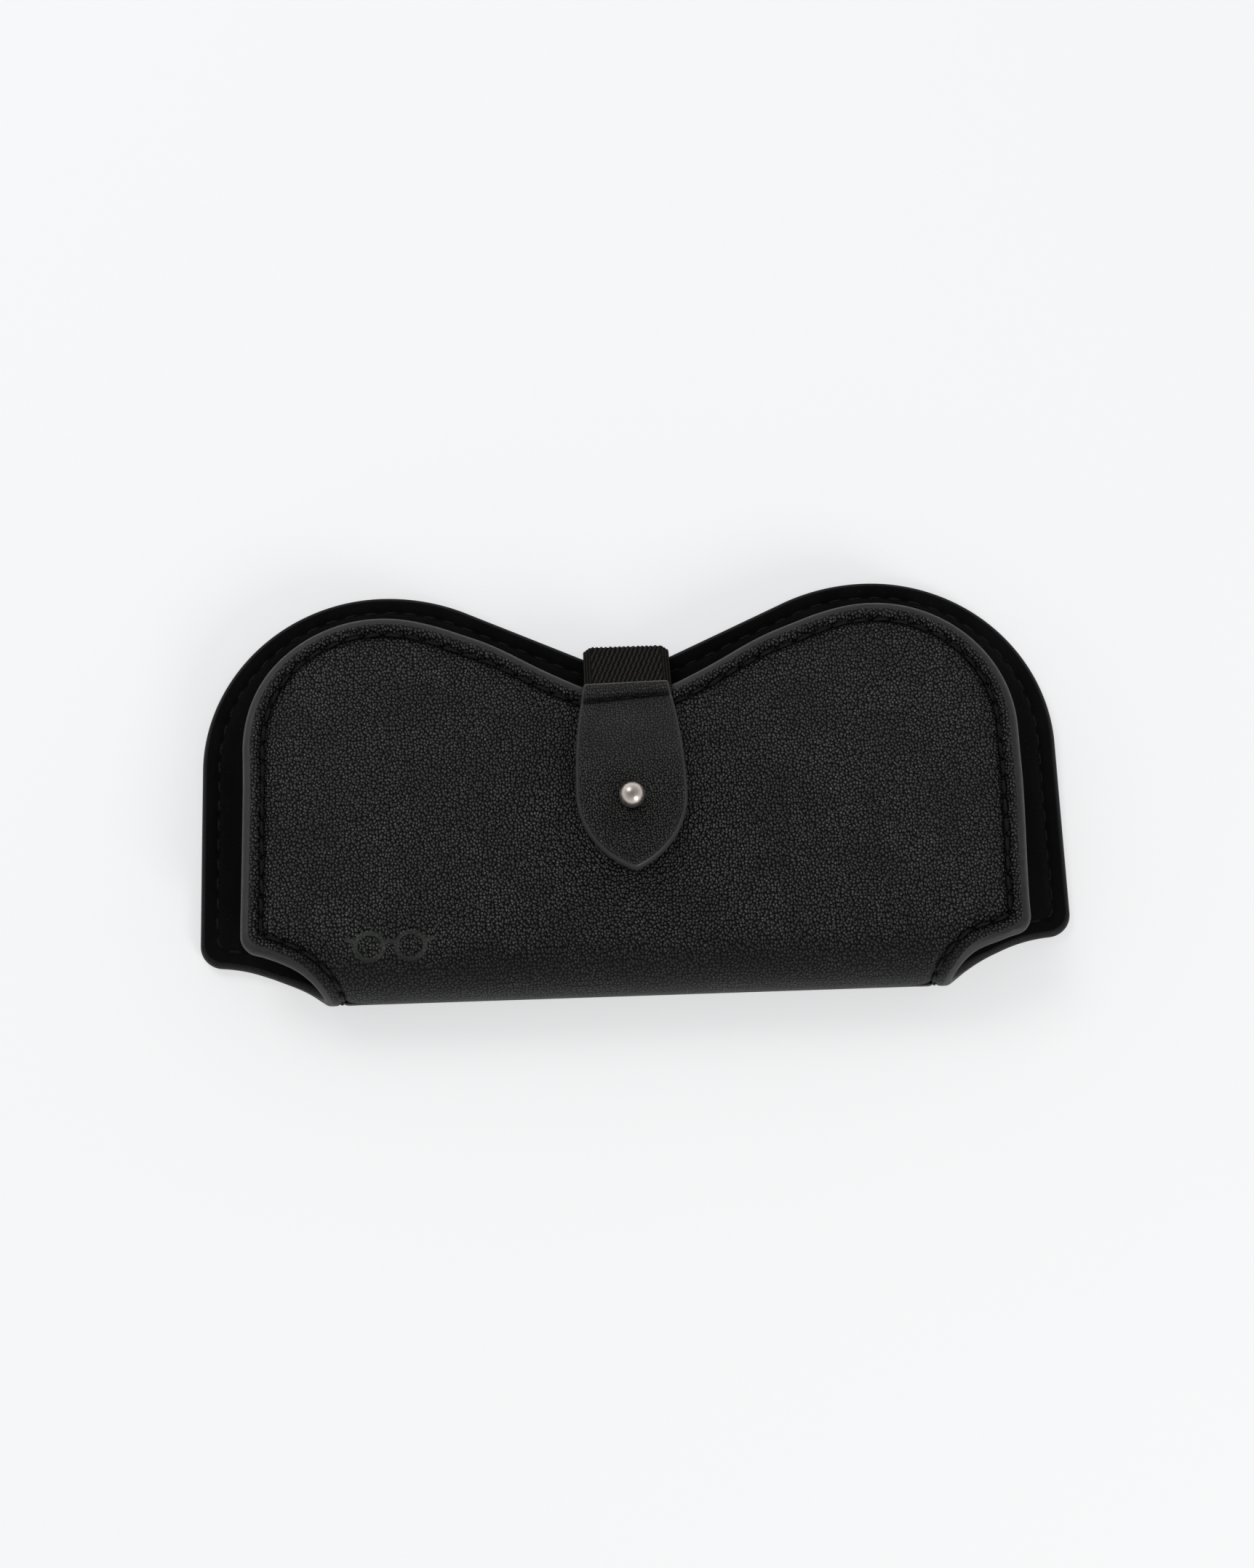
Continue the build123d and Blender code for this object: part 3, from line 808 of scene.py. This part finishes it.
# Rings lie closest together on the rounded edge and across the seam.
front_edge = [0, 0.04, 0.16, 0.36, 0.64, 1.0, 1.5, 1.8, 2.2, 2.6]
front_gaps = np.array(front_edge + [2.95, 3.2, 3.45, 3.68, 3.9, 4.12, 4.35, 4.6, 4.9, 5.4, 6.2])
mark_run = front.run(mark_height)
wide, long, pitch = 9.2, 3.8, 0.34  # the finer grid under the mark
mark_patch = (mark_x - wide, mark_run - long, mark_x + wide, mark_run + long, pitch)
front_plan = Plan(front, front_gaps, 1.15, hole=stud_hole, fine=[mark_patch])


def front_face(plan):
    """Lift of the front leather's face."""
    from_stud = np.hypot(plan.x, plan.height - stud_height)
    lift = -edge_round(plan.rim, 1.5, leather)
    lift += 0.1 * hollow(plan.rim - 2.35, 0.55)
    from_seam = plan.rim - front_row
    lift -= 0.4 * hollow(from_seam, 0.8) + 0.2 * hollow(from_seam, 2.2) * smooth(plan.rim, 1.6, 3.2)
    lift -= 0.3 * needle_holes(plan, front_row)
    lift -= 0.25 * hollow(from_stud, 4.5) + 0.22 * (1 - smooth(from_stud, stud_flange, stud_flange + 0.3))
    return lift - mark_depth * pressed(plan.x, plan.height)


front_skin = front_plan.piece(
    "front_leather_skin",
    front_face(front_plan),
    np.full(len(front_plan.rim), -leather),
    press=pressed(front_plan.x, front_plan.height),
    valley=hollow(front_plan.rim - front_row, 0.95),
)
dress(front_skin, "leather")
bend_front(front_skin)
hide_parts("front_leather", "spine_leather")

back_edge = [0, 0.04, 0.15, 0.35, 0.65, 1.1, 1.7, 2.4]
back_gaps = np.array(back_edge + [2.75, 3.0, 3.2, 3.4, 3.6, 3.8, 4.05, 4.6, 5.6])
back_plan = Plan(back, back_gaps, 1.8)


def back_face(plan):
    """Lift of the back leather's face, which lies on the table."""
    lift = -edge_round(plan.rim, 1.3, leather)
    lift -= 0.42 * hollow(plan.rim - back_row, 0.6)
    return lift - 0.2 * needle_holes(plan, back_row)


back_skin = back_plan.piece(
    "back_leather_skin",
    back_face(back_plan),
    np.full(len(back_plan.rim), -leather),
    valley=hollow(back_plan.rim - back_row, 0.95),
)
dress(back_skin, "leather")
bend_back(back_skin)
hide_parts("back_leather", "spine_leather")

# ---- lining and stiffeners


def lining_face(plan, row):
    """Lift of a lining's open face."""
    lift = -panel + edge_round(plan.rim, 0.95, panel - leather)
    from_seam = plan.rim - row
    lift += 0.3 * hollow(from_seam, 0.6) + 0.12 * hollow(from_seam, 2.0) * smooth(plan.rim, 1.0, 2.4)
    return lift + 0.2 * needle_holes(plan, row)


def lining_back(plan):
    """Lift of a lining's glued face, with a pocket for the stiffener."""
    pocket = smooth(plan.rim, board_margin - 0.5, board_margin)
    pocket *= smooth(plan.height, plan.side.start + board_start - 0.6, plan.side.start + board_start)
    return -leather - board_thickness * pocket


front_lining_plan = Plan(front, front_gaps, 1.8, hole=1.0)
front_suede = front_lining_plan.piece(
    "front_lining_suede", lining_back(front_lining_plan), lining_face(front_lining_plan, front_row)
)
dress(front_suede, "lining")
bend_front(front_suede)
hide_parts("front_lining", "spine_lining")

back_suede = back_plan.piece("back_lining_suede", lining_back(back_plan), lining_face(back_plan, back_row))
dress(back_suede, "lining")
bend_back(back_suede)
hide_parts("back_lining", "spine_lining")


def front_stiffener():
    """The front panel's board, bent as the panel is."""
    whole = ring(front, board_margin, density=1.0)
    first_run = front.arc + board_start
    outline = whole[whole[:, 1] > first_run]
    corners = np.array([[-outline[0][0], first_run], [outline[0][0], first_run]])
    base = line_points(corners[0], corners[1], 60)
    stud = (0.0, front.run(stud_height))
    loops = [np.vstack([outline, base, [corners[1]]]), circle(stud, stud_hole, 36)]
    loose = hex_grid(outline.min(axis=0), outline.max(axis=0), 2.5)
    loose = loose[inside(loose, loops[0]) & (nearest(loose, loops[0]) > 1.2)]
    loose = loose[np.hypot(loose[:, 0], loose[:, 1] - stud[1]) > stud_hole + 1.2]
    plan, faces = triangulate(loops, loose)
    top = np.full(len(plan), -leather)
    return slab("front_stiffener", plan, faces, top, top - board_thickness, partial(place, front), {})


stiffener = dress(front_stiffener(), "board")
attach(stiffener, "front_panel")
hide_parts("front_board")
dress(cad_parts["back_board"], "board")

# ---- seams of the panels


def join(name, pieces):
    """Several meshes as one piece."""
    bpy.ops.object.select_all(action="DESELECT")
    for piece in pieces:
        piece.select_set(True)
    bpy.context.view_layer.objects.active = pieces[0]
    bpy.ops.object.join()
    pieces[0].name = name
    return pieces[0]


front_thread = join(
    "front_seam_thread",
    [
        seam_thread("front_outer", front, front_row, -0.5, 1),
        seam_thread("front_inner", front, front_row, -panel + 0.5, -1),
    ],
)
dress(front_thread, "thread")
bend_front(front_thread)
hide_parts("front_stitching")

back_thread = join(
    "back_seam_thread",
    [
        seam_thread("back_inner", back, back_row, -panel + 0.7, -1),
        seam_thread("back_outer", back, back_row, -0.52, 1),
    ],
)
dress(back_thread, "thread")
bend_back(back_thread)
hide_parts("back_stitching")

# ---- tab


def tab_point(x, height, lift):
    """A point of the tab, which lies on the front panel and leans a little."""
    away = height - stud_height
    turned_x = x * cos(tab_skew) - away * sin(tab_skew)
    turned_height = stud_height + away * cos(tab_skew) + x * sin(tab_skew)
    return place(front, turned_x, front.run(turned_height), lift)


def tab_middle_point(height, lift):
    """A point in the tab's middle, in metres."""
    return tab_point(np.zeros(1), np.array([height]), np.array([lift]))[0]


def tab_outline():
    """Closed outline of the tab, from its tip up the right side."""
    corner, tip = 0.85, 1.8
    half_top, half_belly = tab_top_width / 2, tab_belly_width / 2
    rise = tab_top_height - corner - tab_belly_height
    side_radius = (rise**2 + (half_belly - half_top) ** 2) / (2 * (half_belly - half_top))
    end_x = half_belly - tab_end_radius
    meet = -np.arccos(-end_x / (tab_end_radius - tip))
    tip_centre = (0.0, tab_belly_height + (tab_end_radius - tip) * sin(meet))
    side_angle = np.arcsin(rise / side_radius)
    side_centre = (half_belly - side_radius, tab_belly_height)
    half = np.vstack([
        arc_points(tip_centre, tip, -pi / 2, meet, 8),
        arc_points((end_x, tab_belly_height), tab_end_radius, meet, 0, 40),
        arc_points(side_centre, side_radius, 0, side_angle, 44),
        arc_points((half_top - corner, tab_top_height - corner), corner, 0, pi / 2, 7),
        line_points((half_top - corner, tab_top_height), (0, tab_top_height), 14),
        [[0, tab_top_height]],
    ])
    return np.vstack([half, half[-2:0:-1] * (-1, 1)])


def shrink(loop, gap):
    """A closed loop moved inwards."""
    heading = np.roll(loop, -1, axis=0) - np.roll(loop, 1, axis=0)
    heading /= np.linalg.norm(heading, axis=1, keepdims=True)
    return loop + gap * np.column_stack([-heading[:, 1], heading[:, 0]])


def button_hole(radius, slit):
    """A round hole with a short slit towards the elastic."""
    angles = np.linspace(0, 2 * pi, 60, endpoint=False)
    reach = radius + slit * hollow(angles - pi / 2, 0.13)
    return np.column_stack([reach * np.cos(angles), stud_height + reach * np.sin(angles)])


def tab_sink(x, height):
    """How far the tab's middle is pressed down: at its seam and round the stud."""
    from_stud = np.hypot(x, height - stud_height)
    seam = height - tab_seam_height - tab_seam_slope * x
    sink = 0.72 * hollow(seam, 0.6) + 0.42 * hollow(seam + 0.7, 2.6) * smooth(-seam, -1.2, 0.4)
    sink += 0.45 * hollow(from_stud, 3.6)
    swell = 0.2 * hollow(seam - 2.4, 1.3)
    below = np.arctan2(x, stud_height - height)
    ripples = 0.1 * np.cos((from_stud - 4.3) * 2 * pi / 1.15)
    ripples *= hollow(from_stud - 5.4, 1.5) * hollow(below, 1.0)
    wave = 0.1 * np.sin(x / 4.5 + 0.4) * np.sin(height / 5.0)
    return sink - swell - ripples + wave


class TabPlan:
    """Triangulated plan of the tab."""

    def __init__(self, gaps, spacing, hole):
        outline = tab_outline()
        rings = [shrink(outline, gap) for gap in gaps]
        count, last = len(outline), rings[-1]
        loose = hex_grid(last.min(axis=0), last.max(axis=0), spacing)
        around = [hole + (hole - (0, stud_height)) * step for step in (0.12, 0.3)]
        loose = loose[np.hypot(loose[:, 0], loose[:, 1] - stud_height) > 2.75]
        loose = np.vstack([loose, *around])
        loose = loose[inside(loose, last) & (nearest(loose, last) > 0.35)]
        self.points, self.faces, inner = fill(rings, [last, hole], loose, closed=True)
        self.rim = np.concatenate([np.repeat(gaps, count), gaps[-1] + nearest(inner, last)])
        self.to_hole = np.concatenate([np.full(len(rings) * count, 9.0), nearest(inner, hole)])

    def piece(self, name, top, bottom):
        seam = self.points[:, 1] - tab_seam_height - tab_seam_slope * self.points[:, 0]
        attributes = {"rim": self.rim, "valley": hollow(seam, 0.75)}
        return slab(name, self.points, self.faces, top, bottom, tab_point, attributes)


hole = button_hole(radius=1.75, slit=0.9)
tab_plan = TabPlan(np.array([0, 0.03, 0.1, 0.22, 0.38, 0.56, 0.76]), 0.5, hole)
sink = tab_sink(tab_plan.points[:, 0], tab_plan.points[:, 1])
glue_line = tab_middle - 0.55 * sink
cover = tab_high - tab_middle
cover_top = tab_high - sink - edge_round(tab_plan.rim, 0.62, cover) * (1 - 0.45 * sink / cover)
cover_top = np.where(tab_plan.rim == 0, glue_line, cover_top - 0.3 * hollow(tab_plan.to_hole, 0.45))
tab_cover = tab_plan.piece("tab_cover", cover_top, glue_line)
underside = tab_low - 0.25 * sink + edge_round(tab_plan.rim, 0.7, 0.9)
underside = np.where(tab_plan.rim == 0, glue_line, np.minimum(underside, glue_line - 0.05))
tab_under = tab_plan.piece("tab_under", glue_line, underside)


def tab_thread():
    """The short cross seam that holds the elastic."""
    count, length = 5, 2.7
    share = np.linspace(-1, 1, 9)
    middle = (np.arange(count) - (count - 1) / 2) * stitch_pitch * 0.85
    x = middle[:, None] + share[None, :] * length / 2
    height = tab_seam_height + tab_seam_slope * x + chance.normal(0, 0.06, (count, 1))
    level = tab_high - tab_sink(x, height) - 0.04
    lift = level + 0.3 * (1 - share[None, :] ** 4) - 0.2
    across = np.zeros((*x.shape, 2))
    across[..., 1] = 1
    return tubes("tab_seam_thread", np.stack([x, height, lift], axis=-1), across, x, tab_point)


tab_stitches = tab_thread()
for piece, slot, nodes in (
    (tab_cover, "tab_leather", ["tab_leather"]),
    (tab_under, "tab_leather", ["tab_backing"]),
    (tab_stitches, "thread", ["tab_stitching"]),
):
    dress(piece, slot)
    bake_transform(piece)
    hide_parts(*nodes)

# ---- elastic


def elastic_line():
    """The band's middle line, as plan height and level, from inside the back panel into the tab."""
    level = leather + elastic_thickness / 2
    centre = np.array([elastic_bend_height, level + elastic_bend_radius])
    lift = tab_middle - 0.35
    mouth = tab_middle_point(tab_top_height, lift)[1:] / MM + (mid_line, 0)
    inner = tab_middle_point(tab_top_height - 3.5, lift)[1:] / MM + (mid_line, 0)
    away = mouth - centre
    leave = np.arctan2(away[1], away[0]) - np.arccos(elastic_bend_radius / np.linalg.norm(away))
    bend = arc_points(centre, elastic_bend_radius, -pi / 2, leave, 24)
    bend_end = centre + elastic_bend_radius * np.array([cos(leave), sin(leave)])
    root = line_points((elastic_root_height, level), bend[0], 12)
    raw = np.vstack([root, bend, line_points(bend_end, mouth, 14), line_points(mouth, inner, 6), [inner]])
    lengths = lengths_along(raw)
    along = np.arange(0, lengths[-1], 0.16)
    line = np.column_stack([np.interp(along, lengths, raw[:, 0]), np.interp(along, lengths, raw[:, 1])])
    for _ in range(8):
        line[1:-1] = (line[:-2] + 2 * line[1:-1] + line[2:]) / 4
    return along, line


def elastic_band():
    """A woven band with slanting ribs between two knitted edges."""
    along, line = elastic_line()
    heading = np.gradient(line, axis=0)
    heading /= np.linalg.norm(heading, axis=1, keepdims=True)
    out = np.column_stack([heading[:, 1], -heading[:, 0]])
    half = elastic_width / 2
    x = np.linspace(-half, half, 121)
    v, u = np.meshgrid(along, x, indexing="ij")
    selvedge = smooth(np.abs(u), half - 1.7, half - 1.3)
    slant = (u + 0.22 * v + 0.07 * np.sin(2.1 * v + 1.3 * u) + 0.05 * np.sin(5.3 * v - 0.8 * u)) / 0.9
    rib = 0.5 + 0.5 * np.cos(2 * pi * slant)
    knots = 0.5 + 0.5 * np.cos(2 * pi * (v / 0.55 + 0.5 * np.floor(slant + 0.5)))
    knit = (0.5 + 0.5 * np.cos(2 * pi * v / 0.55)) * (0.5 + 0.5 * np.cos(2 * pi * u / 0.52))
    body = rib * (0.22 + 0.78 * knots)
    weave = body * (1 - selvedge) + knit * selvedge
    half_thick = elastic_thickness / 2 * np.sqrt(np.clip(1 - (np.abs(u) / half) ** 14, 0, 1))
    drawn_in = 0.75 * smooth(np.abs(u), half - 1.6, half)
    bend = hollow(v - (elastic_bend_height - elastic_root_height) - 1.9, 2.4)
    points = []
    for face in (1, -1):
        relief = (0.26 * weave - 0.2) * np.clip(half_thick / (elastic_thickness / 2), 0, 1)
        lift = face * half_thick + face * relief
        height = line[:, 0][:, None] + out[:, 0][:, None] * lift - drawn_in * bend
        level = line[:, 1][:, None] + out[:, 1][:, None] * lift
        points.append(np.stack([u, height - mid_line, level], axis=-1).reshape(-1, 3) * MM)
    rows, columns = u.shape
    count = rows * columns
    faces = []
    for r in range(rows - 1):
        for c in range(columns - 1):
            a, b = r * columns + c, (r + 1) * columns + c
            faces.append((a, a + 1, b + 1, b))
            faces.append((count + a, count + b, count + b + 1, count + a + 1))
    border = [r * columns for r in range(rows)] + [(rows - 1) * columns + c for c in range(1, columns)]
    border += [r * columns + columns - 1 for r in range(rows - 2, -1, -1)] + list(range(columns - 2, 0, -1))
    for a, b in zip(border, border[1:] + border[:1]):
        faces.append((a, b, count + b, count + a))
    skin = np.column_stack([u.ravel(), v.ravel(), np.zeros(count)])
    attributes = {"skin": np.vstack([skin, skin]), "rib": np.tile(weave.ravel(), 2)}
    return make_object("elastic_band", np.vstack(points), faces, attributes, sharp=75)


elastic = dress(elastic_band(), "elastic")
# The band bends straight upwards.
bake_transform(elastic)
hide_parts("elastic_root", "elastic_strap", "elastic_end")

# ---- stud

for node in ("stud_ball", "stud_screw"):
    dress(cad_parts[node], "nickel")

# ---- floor, light and camera


def floor_material():
    """A pale painted table top, very slightly uneven."""
    shade = Shader("pale_floor", Specular_IOR_Level=0.2, Emission_Strength=0.485)
    shade.surface.inputs["Emission Color"].default_value = (0.985, 0.99, 1.0, 1.0)
    at = shade.node("TexCoord").outputs["Object"]
    tone = shade.noise(at, 3.0, 4.0)
    colour = shade.mix(tone, (0.86, 0.865, 0.875, 1.0), (0.89, 0.893, 0.9, 1.0))
    return shade.finish(Base_Color=colour, Roughness=shade.ramp(tone, 0.3, 0.7, 0.8, 0.9))


def add_floor():
    mesh = bpy.data.meshes.new("floor")
    reach = 20.0
    corners = [(-reach, -reach, 0), (reach, -reach, 0), (reach, reach, 0), (-reach, reach, 0)]
    mesh.from_pydata(corners, [], [(0, 1, 2, 3)])
    mesh.materials.append(floor_material())
    floor = add_object("floor", mesh)
    floor.location.z = -0.05 * MM


def aim(made, direction):
    """Turns a light or a camera to look along a direction."""
    made.rotation_mode = "QUATERNION"
    made.rotation_quaternion = direction.to_track_quat("-Z", "Y")


def add_light(name, place_at, size, power, colour):
    """A square softbox that looks at the middle of the case."""
    data = bpy.data.lights.new(name, "AREA")
    data.shape, data.size, data.energy, data.color = "SQUARE", size, power, colour
    light = add_object(name, data)
    light.location = place_at
    aim(light, -Vector(place_at))


def add_world(horizon, zenith):
    """White walls all round under a darker ceiling."""
    world = bpy.data.worlds.new("studio")
    world.use_nodes = True
    nodes, links = world.node_tree.nodes, world.node_tree.links
    split = nodes.new("ShaderNodeSeparateXYZ")
    links.new(nodes.new("ShaderNodeTexCoord").outputs["Generated"], split.inputs[0])
    ramp = nodes.new("ShaderNodeMapRange")
    ramp.inputs["From Max"].default_value = 1.0
    ramp.inputs["To Min"].default_value, ramp.inputs["To Max"].default_value = horizon, zenith
    links.new(split.outputs["Z"], ramp.inputs["Value"])
    background = nodes["Background"]
    background.inputs["Color"].default_value = (0.985, 0.99, 1.0, 1.0)
    links.new(ramp.outputs["Result"], background.inputs["Strength"])
    bpy.context.scene.world = world


def add_camera():
    """The photograph's view: from the fold's side, 20 degrees off the vertical."""
    elevation, azimuth = radians(70), radians(-2.0)
    distance, lens = 0.6, 70.0
    left, raised = 0.75 * MM, 2.25 * MM  # puts the case where it lies in the photograph
    back_vector = Vector((sin(azimuth) * cos(elevation), -cos(azimuth) * cos(elevation), sin(elevation)))
    right = Vector((cos(azimuth), sin(azimuth), 0))
    up = back_vector.cross(right)
    data = bpy.data.cameras.new("camera")
    data.lens, data.sensor_width = lens, 36.0
    camera = add_object("camera", data)
    camera.location = back_vector * distance - right * left + up * raised
    aim(camera, -back_vector)
    bpy.context.scene.camera = camera


add_floor()
add_world(horizon=0.66, zenith=0.16)
add_light("window", (-0.45, 0.55, 0.85), size=0.5, power=1.65, colour=(1.0, 1.0, 0.98))
add_light("lamp", (0.73, -1.0, 0.64), size=0.4, power=4.0, colour=(1.0, 0.99, 0.97))
add_camera()
bpy.context.scene.view_settings.view_transform = "Standard"
